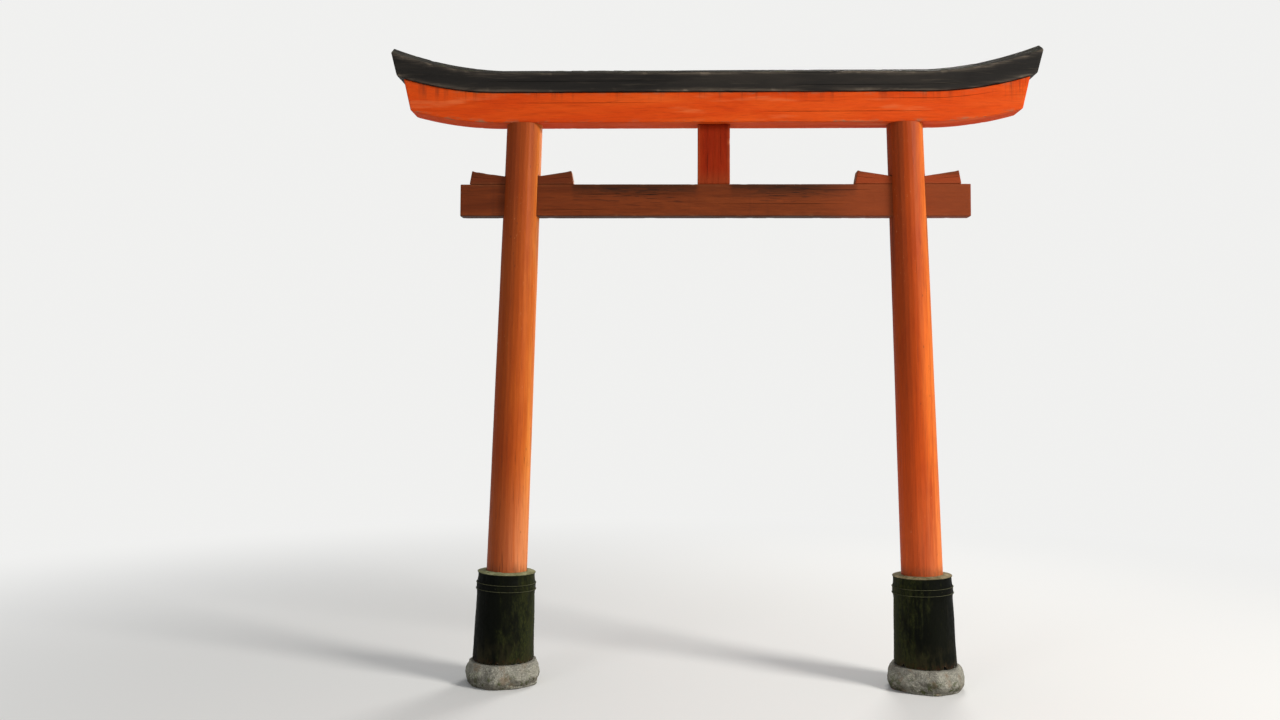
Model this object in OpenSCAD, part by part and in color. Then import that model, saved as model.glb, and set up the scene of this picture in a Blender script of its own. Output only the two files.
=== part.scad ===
// Walk-through shrine gateway in painted timber. Two round posts stand on flat-topped stones
// and lean towards each other. A tie beam passes through both and is locked with wedges. A short
// strut stands on its middle, and two lintels with upswept ends lie on the post tops.
// Millimetres. X runs along the gate, the front faces -Y and Z is up.
// The origin is on the ground, under the middle of the left post's foot.

/* [Posts] */
// Distance between the centres of the two posts' feet
post_spacing = 2050; // [1800:10:2400]
// Diameter of a post at its foot
post_foot_d = 206; // [195:1:240]
// Diameter of a post at its top
post_top_d = 179; // [165:1:192]
// Lean of each post towards the other, in degrees
post_lean = 1.8; // [0.4:0.1:2.8]

/* [Tie beam] */
// Height of the tie beam's underside above the posts' feet
beam_rise = 2170; // [1950:10:2500]
// Height of the tie beam
beam_h = 160; // [130:1:190]
// Thickness of the tie beam, front to back
beam_t = 78; // [60:1:95]
// Length of the tie beam that shows past each outer wedge
beam_tail = 45; // [20:1:120]
// Chamfer along the edges of the tie beam, the strut and the lower lintel
edge_chamfer = 4; // [1:0.5:8]

/* [Wedges] */
// Length of a wedge that shows beside the post
wedge_l = 168; // [110:1:220]
// Height of a wedge at its free end
wedge_h = 68; // [52:1:90]
// Height of a wedge at its hidden tail, in the middle of the post
wedge_tail_h = 28; // [12:1:40]
// How far the foot of a wedge's free end stands out past its top
wedge_toe = 12; // [0:1:25]
// Gap between the tails of an inner and an outer wedge
tail_gap = 6; // [2:1:20]

/* [Centre strut] */
// Clear height between the tie beam and the lower lintel
strut_h = 300; // [240:5:380]
// Width of the strut
strut_w = 160; // [120:1:200]
// Thickness of the strut, front to back
strut_t = 64; // [45:1:78]

/* [Lower lintel] */
// Reach of the lower lintel's underside past the centre of a post's top
lintel_reach = 560; // [420:10:700]
// Height of the lower lintel
lintel_h = 150; // [125:1:190]
// Width of the lower lintel, front to back
lintel_w = 150; // [125:1:175]
// Straight run of the lintels past the centre of a post's top, before they curve
curve_lead = 110; // [100:5:200]
// Rise of the lower lintel's ends above its middle
curve_rise = 62; // [15:1:110]
// Outward slant of the lintels' end cuts, in degrees
end_slant = 14; // [0:1:24]

/* [Top lintel] */
// Width of the top lintel where it lies on the lower one
cap_seat_w = 172; // [150:1:195]
// Width of the top lintel at its eaves
cap_eave_w = 206; // [196:1:240]
// Height of the top lintel's sides
cap_side_h = 92; // [70:1:120]
// Rise of the top lintel's ridge above its eaves
cap_ridge_h = 38; // [15:1:70]
// How far the top lintel's ends stand out past the lower lintel's
cap_step = 32; // [10:1:80]
// Extra height of the top lintel's sides at its ends
cap_end_gain = 14; // [0:1:30]

/* [Foot sleeves] */
// Height of a sleeve from the stone to its cap ring, along the post
sleeve_h = 425; // [380:5:520]
// Space between the post and the inside of the sleeve, under the cap ring
sleeve_gap = 36; // [20:1:45]
// How much further out the sleeve stands at its foot than at its top
sleeve_flare = 11; // [0:1:20]
// Thickness of the sleeve's and the collar's sheet
sleeve_wall = 3; // [2:0.5:5]
// Height of the collar above the middle of the hoop
collar_h = 64; // [45:1:90]
// Height between the hoop's two beads
hoop_h = 30; // [20:1:45]
// Thickness of the hoop
hoop_t = 2; // [1.5:0.5:4]
// Radius of the hoop's beads
bead_r = 2.5; // [1.5:0.5:6]
// Thickness of the cap ring
ring_t = 3; // [2:0.5:6]
// Fall of the cap ring from the post to its rim
ring_fall = 7; // [3:1:15]
// Overhang of the cap ring past the collar
ring_lip = 2.5; // [1:0.5:6]

/* [Base stones] */
// Height of a base stone above the ground
stone_h = 110; // [80:5:150]
// Flat rim that the stone shows round the sleeve
stone_rim = 5; // [4:1:30]
// How far the stone's flank swells out past its flat top
stone_swell = 26; // [20:1:45]
// Turn of the left stone about its own middle, in degrees
left_stone_turn = 20; // [0:5:355]
// Turn of the right stone, which hides that the two stones share one outline
right_stone_turn = 155; // [0:5:355]

/* [Timber joints] */
// Clearance round the tenons, the tie beam, the hoops and the cap rings
fit = 0.3; // [0.2:0.1:0.8]
// Width of the tenon on a post's top, along the gate
post_tenon_w = 90; // [60:1:110]
// Thickness of the tenon on a post's top
post_tenon_t = 60; // [40:1:75]
// Length of the tenon on a post's top
post_tenon_l = 80; // [50:1:100]
// Width of the strut's tenons
strut_tenon_w = 90; // [60:1:105]
// Thickness of the strut's tenons
strut_tenon_t = 24; // [16:1:34]
// Length of the strut's tenons
strut_tenon_l = 40; // [25:1:60]
// Empty depth left past the end of a tenon
tenon_end_gap = 3; // [1:1:8]

/* [Hidden] */
$fn = 96;

// Colours of the finishes
worn_vermilion = "#cf6437";
brown_timber = "#6b3a22";
red_timber = "#8a2f12";
lintel_vermilion = "#d2481a";
black_timber = "#1d1c1a";
black_sheet = "#20241c";
dusty_sheet = "#8f8a76";
pale_stone = "#9a978c";

// Heights
foot_z = stone_h;
beam_z = foot_z + beam_rise;
beam_top_z = beam_z + beam_h;
lintel_z = beam_top_z + strut_h;
cap_z = lintel_z + lintel_h;

// The post's axis: it leans along +X from the foot
post_len = (lintel_z - foot_z) / cos(post_lean);
lean_run = tan(post_lean);
beam_x = (beam_top_z - foot_z) * lean_run;
top_x = (lintel_z - foot_z) * lean_run;
middle_x = post_spacing / 2;
function post_r(s) = (post_foot_d + (post_top_d - post_foot_d) * s / post_len) / 2;

// Spare length of a shape that a level cut trims, and the size of a block that cuts right across
trim = 40;
block = 5 * post_foot_d;

// Wedge heights follow a straight line from the hidden tail to the free end
beam_post_r = post_r((beam_top_z - foot_z) / cos(post_lean)) / cos(post_lean);
wedge_end = beam_post_r + wedge_l;
wedge_slope = (wedge_h - wedge_tail_h) / (wedge_end - wedge_toe - tail_gap / 2);
mouth_x = beam_post_r + wedge_h * lean_run;
mortise_h = beam_h + wedge_tail_h + wedge_slope * (mouth_x - tail_gap / 2) + fit;
beam_reach = wedge_end + beam_tail;

// The lintels curve along one arc at each end
straight_half = middle_x - top_x + curve_lead;
lintel_half = middle_x - top_x + lintel_reach;
curve_run = lintel_half - straight_half;
curve_r = (curve_run * curve_run + curve_rise * curve_rise) / (2 * curve_rise);
curve_steps = 10;
slant_run = tan(end_slant);
lintel_top_half = lintel_half + lintel_h * slant_run;
function past(x) = max(0, abs(x) - straight_half);
function curve_lift(x) = curve_r - sqrt(curve_r * curve_r - past(x) * past(x));
function end_growth(x, gain) = 1 + gain * past(x) / curve_run;

// The sleeve's outside, its top under the cap ring and the level where the hoop sits
shell_top = sleeve_h - ring_t;
sleeve_top_r = post_r(shell_top) + sleeve_gap + sleeve_wall;
function sleeve_r(s) = sleeve_top_r + sleeve_flare * (1 - s / shell_top);
hoop_mid = shell_top - collar_h;
hoop_low = hoop_mid - hoop_h / 2;
hoop_high = hoop_mid + hoop_h / 2;

// The base stone is a ring of overlapping boulder lobes, cut level at top and bottom
stone_lobes = [0, 9, 3, 12, 5, 1, 10, 4, 7];
lobe_count = len(stone_lobes);
lobe_drop = 0.55 * stone_h;
lobe_r = (stone_swell * stone_swell + lobe_drop * lobe_drop) / (2 * stone_swell);
stone_flat_r = sleeve_r(0) + stone_rim;
lobe_ring_r = (stone_flat_r - lobe_r + stone_swell) / cos(180 / lobe_count);

// Outline of a bar w wide and h high with its four edges chamfered, standing on y = 0
function chamfered(w, h, c) = [[c - w / 2, 0], [w / 2 - c, 0], [w / 2, c], [w / 2, h - c],
    [w / 2 - c, h], [c - w / 2, h], [-w / 2, h - c], [-w / 2, c]];

// Everything on the right is the left side's mirror image
module right_side() {
    translate([post_spacing, 0, 0]) mirror([1, 0, 0]) children();
}

// Puts a shape that is drawn up the Z axis onto the left post's leaning axis
module on_post_axis() {
    translate([0, 0, foot_z]) rotate([0, post_lean, 0]) children();
}

// The space between two levels
module level_slab(low_z, high_z) {
    translate([-block / 2, -block / 2, low_z]) cube([block, block, high_z - low_z]);
}

// A stretch of the post's taper, grown outwards by a clearance
module taper(from_s, to_s, grow) {
    translate([0, 0, from_s])
        cylinder(h = to_s - from_s, r1 = post_r(from_s) + grow, r2 = post_r(to_s) + grow);
}

// An upright rectangular block with its foot at low_z
module upright_block(w, t, low_z, high_z) {
    translate([-w / 2, -t / 2, low_z]) cube([w, t, high_z - low_z]);
}

// A post: leaning taper cut level at both ends, a tenon on top and the tie beam's mortise
module post() {
    color(worn_vermilion)
    difference() {
        union() {
            intersection() {
                on_post_axis() taper(-trim, post_len + trim, 0);
                level_slab(foot_z, lintel_z);
            }
            translate([top_x, 0, 0])
                upright_block(post_tenon_w, post_tenon_t, lintel_z - trim, lintel_z + post_tenon_l);
        }
        translate([beam_x, 0, 0])
            upright_block(block, beam_t + 2 * fit, beam_z, beam_z + mortise_h);
    }
}

module left_post() {
    post();
}

module right_post() {
    right_side() post();
}

// The tie beam: a chamfered bar with a mortise for the strut in its top
module tie_beam() {
    color(brown_timber)
    difference() {
        translate([beam_x - beam_reach, 0, beam_z]) rotate([90, 0, 90])
            linear_extrude(post_spacing + 2 * (beam_reach - beam_x))
                polygon(chamfered(beam_t, beam_h, edge_chamfer));
        translate([middle_x, 0, 0])
            upright_block(strut_tenon_w + 2 * fit, strut_tenon_t + 2 * fit,
                beam_top_z - strut_tenon_l - tenon_end_gap, beam_top_z + trim);
    }
}

// A wedge that lies on the tie beam and is driven into the mortise from the +X side
module wedge() {
    color(brown_timber)
    translate([beam_x, beam_t / 2, beam_top_z]) rotate([90, 0, 0]) linear_extrude(beam_t)
        polygon([[tail_gap / 2, 0], [wedge_end, 0], [wedge_end - wedge_toe, wedge_h],
            [tail_gap / 2, wedge_tail_h]]);
}

// The same wedge, driven in from the other side of the post
module outer_wedge() {
    translate([2 * beam_x, 0, 0]) mirror([1, 0, 0]) wedge();
}

module left_inner_wedge() {
    wedge();
}

module left_outer_wedge() {
    outer_wedge();
}

module right_inner_wedge() {
    right_side() wedge();
}

module right_outer_wedge() {
    right_side() outer_wedge();
}

// The strut: a chamfered upright with a tenon at each end
module centre_strut() {
    color(red_timber)
    translate([middle_x, 0, 0])
    union() {
        translate([0, -strut_t / 2, beam_top_z]) linear_extrude(strut_h)
            polygon(chamfered(strut_w, strut_t, edge_chamfer));
        upright_block(strut_tenon_w, strut_tenon_t, beam_top_z - strut_tenon_l, lintel_z + strut_tenon_l);
    }
}

// One cross-section of a curved beam, x from the gate's middle; a slanted ring leans outwards
function ring_points(x, section, base_z, gain, slant) = [for (p = section)
    let (up = p[1] * end_growth(x, gain), px = x + sign(x) * slant * up)
    [middle_x + px, p[0], base_z + up + curve_lift(px)]];

// A beam swept along the lintels' curve, higher towards its ends by the gain. The rings stand at
// the given distances on both sides of the middle, and the end rings follow the slanted end cut.
module curved_beam(section, inner, end, base_z, gain) {
    sides = len(section);
    inner_count = len(inner);
    rings = concat(
        [ring_points(-end, section, base_z, gain, slant_run)],
        [for (i = [inner_count - 1:-1:0]) ring_points(-inner[i], section, base_z, gain, 0)],
        [for (x = inner) ring_points(x, section, base_z, gain, 0)],
        [ring_points(end, section, base_z, gain, slant_run)]);
    last = len(rings) - 1;
    points = [for (r = rings) for (p = r) p];
    skin = [for (r = [0:last - 1]) for (i = [0:sides - 1])
        let (a = r * sides + i, b = r * sides + (i + 1) % sides)
        for (face = [[a, a + sides, b], [b, a + sides, b + sides]]) face];
    left_end = [for (i = [1:sides - 2]) [0, i, i + 1]];
    right_end = [for (i = [1:sides - 2]) [last * sides, last * sides + i + 1, last * sides + i]];
    polyhedron(points, concat(skin, left_end, right_end));
}

lintel_stations = [for (i = [0:curve_steps - 1]) straight_half + curve_run * i / curve_steps];

// The lower lintel, with mortises for the tenons of both posts and the strut
module lower_lintel() {
    color(lintel_vermilion)
    difference() {
        curved_beam(chamfered(lintel_w, lintel_h, edge_chamfer), lintel_stations, lintel_half,
            lintel_z, 0);
        for (x = [top_x, post_spacing - top_x]) {
            translate([x, 0, 0])
                upright_block(post_tenon_w + 2 * fit, post_tenon_t + 2 * fit,
                    lintel_z - trim, lintel_z + post_tenon_l + tenon_end_gap);
        }
        translate([middle_x, 0, 0])
            upright_block(strut_tenon_w + 2 * fit, strut_tenon_t + 2 * fit,
                lintel_z - trim, lintel_z + strut_tenon_l + tenon_end_gap);
    }
}

// The top lintel: sides that flare out to the eaves under a low gabled top
module top_lintel() {
    section = [[-cap_seat_w / 2, 0], [cap_seat_w / 2, 0], [cap_eave_w / 2, cap_side_h],
        [0, cap_side_h + cap_ridge_h], [-cap_eave_w / 2, cap_side_h]];
    color(black_timber)
        curved_beam(section, concat(lintel_stations, [lintel_top_half]), lintel_top_half + cap_step,
            cap_z, cap_end_gain / cap_side_h);
}

// A conical shell of the sleeve between two levels, before its foot is cut level
module shell(low_s, high_s) {
    rotate_extrude()
        polygon([[sleeve_r(low_s) - sleeve_wall, low_s], [sleeve_r(low_s), low_s],
            [sleeve_r(high_s), high_s], [sleeve_r(high_s) - sleeve_wall, high_s]]);
}

// The sleeve's long lower shell stands on the stone and ends behind the hoop
module sleeve() {
    color(black_sheet)
    intersection() {
        on_post_axis() shell(-trim, hoop_mid);
        level_slab(foot_z, beam_z);
    }
}

module left_sleeve() {
    sleeve();
}

module right_sleeve() {
    right_side() sleeve();
}

// The collar stands on the sleeve behind the hoop
module collar() {
    color(black_sheet)
        on_post_axis() shell(hoop_mid, shell_top);
}

module left_sleeve_collar() {
    collar();
}

module right_sleeve_collar() {
    right_side() collar();
}

// The hoop covers the seam between sleeve and collar: a flat band with a bead at each edge
module hoop() {
    color(black_sheet)
    on_post_axis() rotate_extrude() {
        polygon([[sleeve_r(hoop_low) + fit, hoop_low], [sleeve_r(hoop_low) + fit + hoop_t, hoop_low],
            [sleeve_r(hoop_high) + fit + hoop_t, hoop_high], [sleeve_r(hoop_high) + fit, hoop_high]]);
        for (s = [hoop_low, hoop_high]) {
            translate([sleeve_r(s) + fit + bead_r, s]) circle(bead_r, $fn = 24);
        }
    }
}

module left_sleeve_hoop() {
    hoop();
}

module right_sleeve_hoop() {
    right_side() hoop();
}

// The cap ring closes the space between post and sleeve, and falls outwards to shed rain
module cap_ring() {
    rim_r = sleeve_r(shell_top) + ring_lip;
    bore_r = post_r(shell_top) / 2;
    color(dusty_sheet)
    on_post_axis()
    difference() {
        rotate_extrude()
            polygon([[bore_r, shell_top], [rim_r, shell_top], [rim_r, sleeve_h],
                [post_r(sleeve_h), sleeve_h + ring_fall], [bore_r, sleeve_h + ring_fall]]);
        taper(shell_top - trim, sleeve_h + ring_fall + trim, fit);
    }
}

module left_sleeve_cap_ring() {
    cap_ring();
}

module right_sleeve_cap_ring() {
    right_side() cap_ring();
}

// A base stone: boulder lobes in a ring, turned so that the two stones differ
module base_stone(turn) {
    color(pale_stone)
    intersection() {
        rotate([0, 0, turn]) hull() {
            for (i = [0:lobe_count - 1]) {
                rotate([0, 0, 360 * i / lobe_count])
                    translate([lobe_ring_r + stone_lobes[i], 0, stone_h - lobe_drop])
                        sphere(lobe_r, $fn = 24);
            }
        }
        level_slab(0, stone_h);
    }
}

module left_base_stone() {
    base_stone(left_stone_turn);
}

module right_base_stone() {
    translate([post_spacing, 0, 0]) base_stone(right_stone_turn);
}

left_base_stone();
right_base_stone();
left_post();
right_post();
left_sleeve();
right_sleeve();
left_sleeve_collar();
right_sleeve_collar();
left_sleeve_hoop();
right_sleeve_hoop();
left_sleeve_cap_ring();
right_sleeve_cap_ring();
tie_beam();
left_inner_wedge();
left_outer_wedge();
right_inner_wedge();
right_outer_wedge();
centre_strut();
lower_lintel();
top_lintel();
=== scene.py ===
# The looks of a painted timber shrine gateway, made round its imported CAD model
import math
import random
from functools import reduce

import bmesh
import bpy
import numpy as np
from mathutils import Matrix, Vector, noise


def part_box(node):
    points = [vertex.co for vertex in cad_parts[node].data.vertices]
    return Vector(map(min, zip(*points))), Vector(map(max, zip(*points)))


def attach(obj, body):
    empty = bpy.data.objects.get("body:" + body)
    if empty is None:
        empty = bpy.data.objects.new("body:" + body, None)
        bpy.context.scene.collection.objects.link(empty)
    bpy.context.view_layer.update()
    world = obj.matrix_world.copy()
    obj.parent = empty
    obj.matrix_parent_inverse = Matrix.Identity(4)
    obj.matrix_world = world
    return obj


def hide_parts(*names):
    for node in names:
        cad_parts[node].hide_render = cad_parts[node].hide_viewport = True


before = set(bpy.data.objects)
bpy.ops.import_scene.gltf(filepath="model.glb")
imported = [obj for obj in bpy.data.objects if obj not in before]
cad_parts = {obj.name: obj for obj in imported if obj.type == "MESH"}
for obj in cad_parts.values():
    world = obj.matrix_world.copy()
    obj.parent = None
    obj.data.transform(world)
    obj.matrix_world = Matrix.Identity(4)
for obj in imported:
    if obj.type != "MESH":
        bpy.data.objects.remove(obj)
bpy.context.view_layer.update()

scene = bpy.context.scene
scene.view_settings.view_transform = "Standard"
print("frame loaded with", len(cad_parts), "nodes")

# Sizes that the frame's boxes don't give, in metres
gate = {
    "postSpacing": 2.050,
    "footWide": 0.206,
    "topWide": 0.179,
    "lean": math.radians(1.8),
    "lintelHeight": 0.150,
    "postTenon": (0.090, 0.060, 0.080),     # wide, thick, long
    "strutTenon": (0.090, 0.024, 0.040),
    "endClear": 0.003,                      # past a tenon's end
    "sideClear": 0.0003,                    # beside a tenon
    "tenonShy": 0.0002,                     # what the strut's tenons are thinner by on each side
    "slotClear": 0.0015,                    # beside the tie beam in a post's slot
    "past": 0.02,                           # what a tenon's or mortise's block reaches past the shoulder
    "slotFall": 0.0245,                     # from the wedges' thick ends down to a slot's roof
    "slotCut": 0.9,                         # the block that cuts a slot, longer than a post is wide
    "wearReach": 0.012,                     # how far wear spreads from a timber's edge
    "shortestEdge": 2e-5,                   # shorter edges are merged away
    "sharpAngle": 46,                       # edges sharper than this, in degrees, stay crisp
}

# Levels and places that the frame does give
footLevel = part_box("left_post")[0].z
beamLow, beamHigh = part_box("tie_beam")
lintelLow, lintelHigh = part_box("lower_lintel")
capLow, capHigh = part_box("top_lintel")
strutLow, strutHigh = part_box("centre_strut")
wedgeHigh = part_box("left_inner_wedge")[1]
middleX = (beamLow.x + beamHigh.x) / 2
postLength = (lintelLow.z - footLevel) / math.cos(gate["lean"])
postTopX = (lintelLow.z - footLevel) * math.tan(gate["lean"])


def rgb(red, green, blue):
    # a colour as read off a screen, 0 to 255, made the linear colour that nodes take
    parts = [c / 255 for c in (red, green, blue)]
    return tuple(((p + 0.055) / 1.055) ** 2.4 if p > 0.04 else p / 12.92 for p in parts) + (1.0,)


class Bench:
    # adds nodes to one tree; each call gives the new node's output socket
    def __init__(self, tree):
        self.tree = tree

    def add(self, kind, inputs=None, out=0, **settings):
        made = self.tree.nodes.new(kind)
        for key, value in settings.items():
            setattr(made, key, value)
        for key, value in (inputs or {}).items():
            if isinstance(value, bpy.types.NodeSocket):
                self.tree.links.new(value, made.inputs[key])
            else:
                made.inputs[key].default_value = value
        return made.outputs[out]

    def math(self, how, *values):
        return self.add("ShaderNodeMath", dict(enumerate(values)), operation=how)

    def total(self, *values):
        return reduce(lambda first, second: self.math("ADD", first, second), values)

    def times(self, *values):
        return reduce(lambda first, second: self.math("MULTIPLY", first, second), values)

    def minus(self, first, second):
        return self.math("SUBTRACT", first, second)

    def over(self, first, second):
        return self.math("DIVIDE", first, second)

    def inverse(self, share):
        return self.minus(1.0, share)

    def blend(self, *parts):
        # a sum of sockets, each with its weight
        return self.total(*(self.times(socket, weight) for socket, weight in parts))

    def axis(self, at, which):
        return self.add("ShaderNodeSeparateXYZ", {"Vector": at}, which)

    def joined(self, x=0.0, y=0.0, z=0.0):
        return self.add("ShaderNodeCombineXYZ", {0: x, 1: y, 2: z})

    def vector(self, how, first, second=(0, 0, 0), out=0):
        return self.add("ShaderNodeVectorMath", {0: first, 1: second}, out, operation=how)

    def noise(self, scale, detail=3.0, rough=0.55, warp=0.0, at=None):
        spread = self.vector("MULTIPLY", at or self.at, scale)
        return self.add("ShaderNodeTexNoise", {"Vector": spread, "Scale": 1.0, "Detail": detail,
                                               "Roughness": rough, "Distortion": warp})

    def cells(self, scale, out):
        spread = self.vector("MULTIPLY", self.at, scale)
        return self.add("ShaderNodeTexVoronoi", {"Vector": spread, "Scale": 1.0}, out)

    def fade(self, value, low, high, most=1.0, least=0.0):
        return self.add("ShaderNodeMapRange", {"Value": value, "From Min": low, "From Max": high,
                        "To Min": least, "To Max": most}, interpolation_type="SMOOTHSTEP")

    def blotches(self, scale, low, high, most=1.0, detail=3.0, rough=0.55, warp=0.0):
        return self.fade(self.noise(scale, detail, rough, warp), low, high, most)

    def mark(self, name):
        return self.add("ShaderNodeAttribute", out="Fac", attribute_name=name)

    def facing(self, which):
        return self.axis(self.add("ShaderNodeNewGeometry", out="Normal"), which)

    def rightHand(self, most=1.0, least=0.0):
        # changes over in the middle of the way through
        return self.fade(self.axis(self.at, "X"), middleX - 0.1, middleX + 0.1, most, least)

    def mix(self, share, first, second, how="MIX"):
        return self.add("ShaderNodeMix", {0: share, 6: first, 7: second}, 2, data_type="RGBA", blend_type=how)

    def base(self, value, *stops):
        # the undermost colour, a ramp; a stop is its position, red, green and blue
        self.colour = self.add("ShaderNodeValToRGB", {"Fac": value})
        elements = self.colour.node.color_ramp.elements
        while len(elements) < len(stops):
            elements.new(0.5)
        for element, (position, *colour) in zip(elements, stops):
            element.position, element.color = position, rgb(*colour)

    def coat(self, share, colour, how="MIX"):
        # lays one more colour over what is there
        added = rgb(*colour) if isinstance(colour, tuple) else colour
        self.colour = self.mix(share, self.colour, added, how)

    def cracks(self, *colour):
        self.coat(self.fade(self.mark("crack"), 0.05, 0.8, 0.92), colour)


def finish(name, recipe, bumpDepth, specular):
    # a recipe paints the bench's colour and gives the roughness and the height of the grain
    made = bpy.data.materials.new(name)
    made.use_nodes = True
    shader = made.node_tree.nodes["Principled BSDF"]
    shader.inputs["Specular IOR Level"].default_value = specular
    b = Bench(made.node_tree)
    b.at = b.add("ShaderNodeTexCoord", out="Object")
    b.height = b.axis(b.at, "Z")
    roughness, relief = recipe(b)
    bump = b.add("ShaderNodeBump", {"Strength": 1.0, "Distance": bumpDepth, "Height": relief})
    for label, socket in (("Base Color", b.colour), ("Roughness", roughness), ("Normal", bump)):
        made.node_tree.links.new(socket, shader.inputs[label])
    return made


def postPaintRecipe(b):
    # sun-faded vermilion on round posts: long patches, runs down the grain, dirt near the foot, and painted
    # light and shade across each post
    patches = b.noise((5.0, 5.0, 1.1), 4, 0.6, 0.5)
    runs = b.noise((40, 40, 1.3), 4, 0.62)
    fineRuns = b.noise((120, 120, 2.2), 3, 0.6)
    fibre = b.noise((330, 330, 9), 3, 0.6)
    broad = b.noise((3.4, 3.4, 1.5), 2, 0.5)
    fadedAndLit = b.mark("fadedAndLit")
    b.base(patches, (0.28, 170, 68, 9), (0.46, 186, 82, 13), (0.60, 198, 94, 21), (0.78, 209, 113, 38))
    # paler on the faded side: partly sun-faded paint, partly a painted highlight on the side the light falls
    # on
    bleachedAndLit = b.fade(b.total(fadedAndLit, b.times(patches, 0.7)), 0.55, 1.25, 0.80)
    b.coat(b.times(b.fade(runs, 0.28, 0.60), bleachedAndLit), (240, 150, 66))
    b.coat(b.fade(fineRuns, 0.50, 0.76, 0.42), (150, 50, 8))
    b.coat(b.blotches((17, 17, 0.8), 0.56, 0.76, 0.45), (233, 126, 46))
    # the right post's coat is the redder one, and both feet are paler, the left one most: partly faded paint,
    # partly a painted highlight strongest on the lit side
    rightPost = b.rightHand()
    b.coat(b.times(rightPost, 0.8), (246, 190, 128), "MULTIPLY")
    paleFoot = b.times(b.fade(b.height, 1.15, 0.56), b.fade(runs, 0.36, 0.62, 0.75, 0.35),
                       b.inverse(b.times(rightPost, 0.55)), b.fade(fadedAndLit, -0.5, 0.6, 1.0, 0.4))
    b.coat(paleFoot, (228, 146, 98))
    # painted shade: darker brown under the lintels, most on the side away from the light
    shadeUnderLintels = b.times(b.fade(b.height, 1.35, lintelLow.z), b.fade(runs, 0.32, 0.60, 0.60, 0.3),
                       b.fade(fadedAndLit, 0.9, 0.3, 1.0, 0.5))
    b.coat(shadeUnderLintels, (140, 60, 22))
    # painted shade on the side away from the light, together with a deeper, dirtier coat there; less so low
    # down on the right post
    redLow = b.times(rightPost, b.fade(b.height, 1.65, 0.95, 0.42))
    b.coat(b.times(b.fade(fadedAndLit, 0.55, -0.5), b.minus(0.42, redLow)), (132, 50, 12))
    b.coat(b.times(b.fade(fadedAndLit, 0.4, -0.3), redLow), (214, 82, 22))
    # painted shade: the left post's outer side is a little darker still
    b.coat(b.times(b.fade(fadedAndLit, 0.1, -0.75), b.inverse(rightPost)), (236, 232, 226), "MULTIPLY")
    # painted highlight: brighter orange on the side the light falls on
    b.coat(b.times(b.fade(fadedAndLit, 0.60, 1.0, 0.50), b.fade(runs, 0.25, 0.55, 1.0, 0.60)), (224, 124, 56))
    # mud has splashed up from the cap ring, and water runs down under the beam
    splash = b.times(b.fade(b.height, 0.60, 0.545), b.blotches((22, 22, 9), 0.38, 0.62, 0.7, 4, 0.65))
    b.coat(splash, (132, 74, 44))
    b.coat(b.times(b.mark("drip"), b.fade(runs, 0.40, 0.62, 0.7)), (96, 44, 24))
    # scattered round dots, 1 in their middles
    dots = b.fade(b.cells((34, 34, 13), "Distance"), 0.11, 0.11 * 0.55)
    specks = b.times(dots, b.fade(patches, 0.50, 0.58, 0.5))
    b.coat(specks, (70, 34, 20))
    b.coat(b.fade(fibre, 0.42, 0.72, 0.30), (126, 46, 14))
    # the coat has flaked in small spots and split in short hair checks along the grain
    flakes = b.times(b.blotches((95, 95, 38), 0.665, 0.70, 1.0, 4, 0.65, 0.4), b.fade(broad, 0.46, 0.62, 0.5))
    b.coat(flakes, (208, 132, 84))
    checks = b.times(b.blotches((230, 230, 4.5), 0.655, 0.70, 1.0, 2, 0.5), b.fade(broad, 0.60, 0.42, 0.70))
    b.coat(checks, (74, 32, 14))
    b.cracks(38, 20, 12)
    roughness = b.fade(b.blend((runs, 0.6), (fineRuns, 0.4)), 0.30, 0.75, 0.72, 0.46)
    return roughness, b.blend((fibre, 0.30), (fineRuns, 0.45), (specks, 0.3), (flakes, -0.35), (checks, -0.5))


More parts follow.
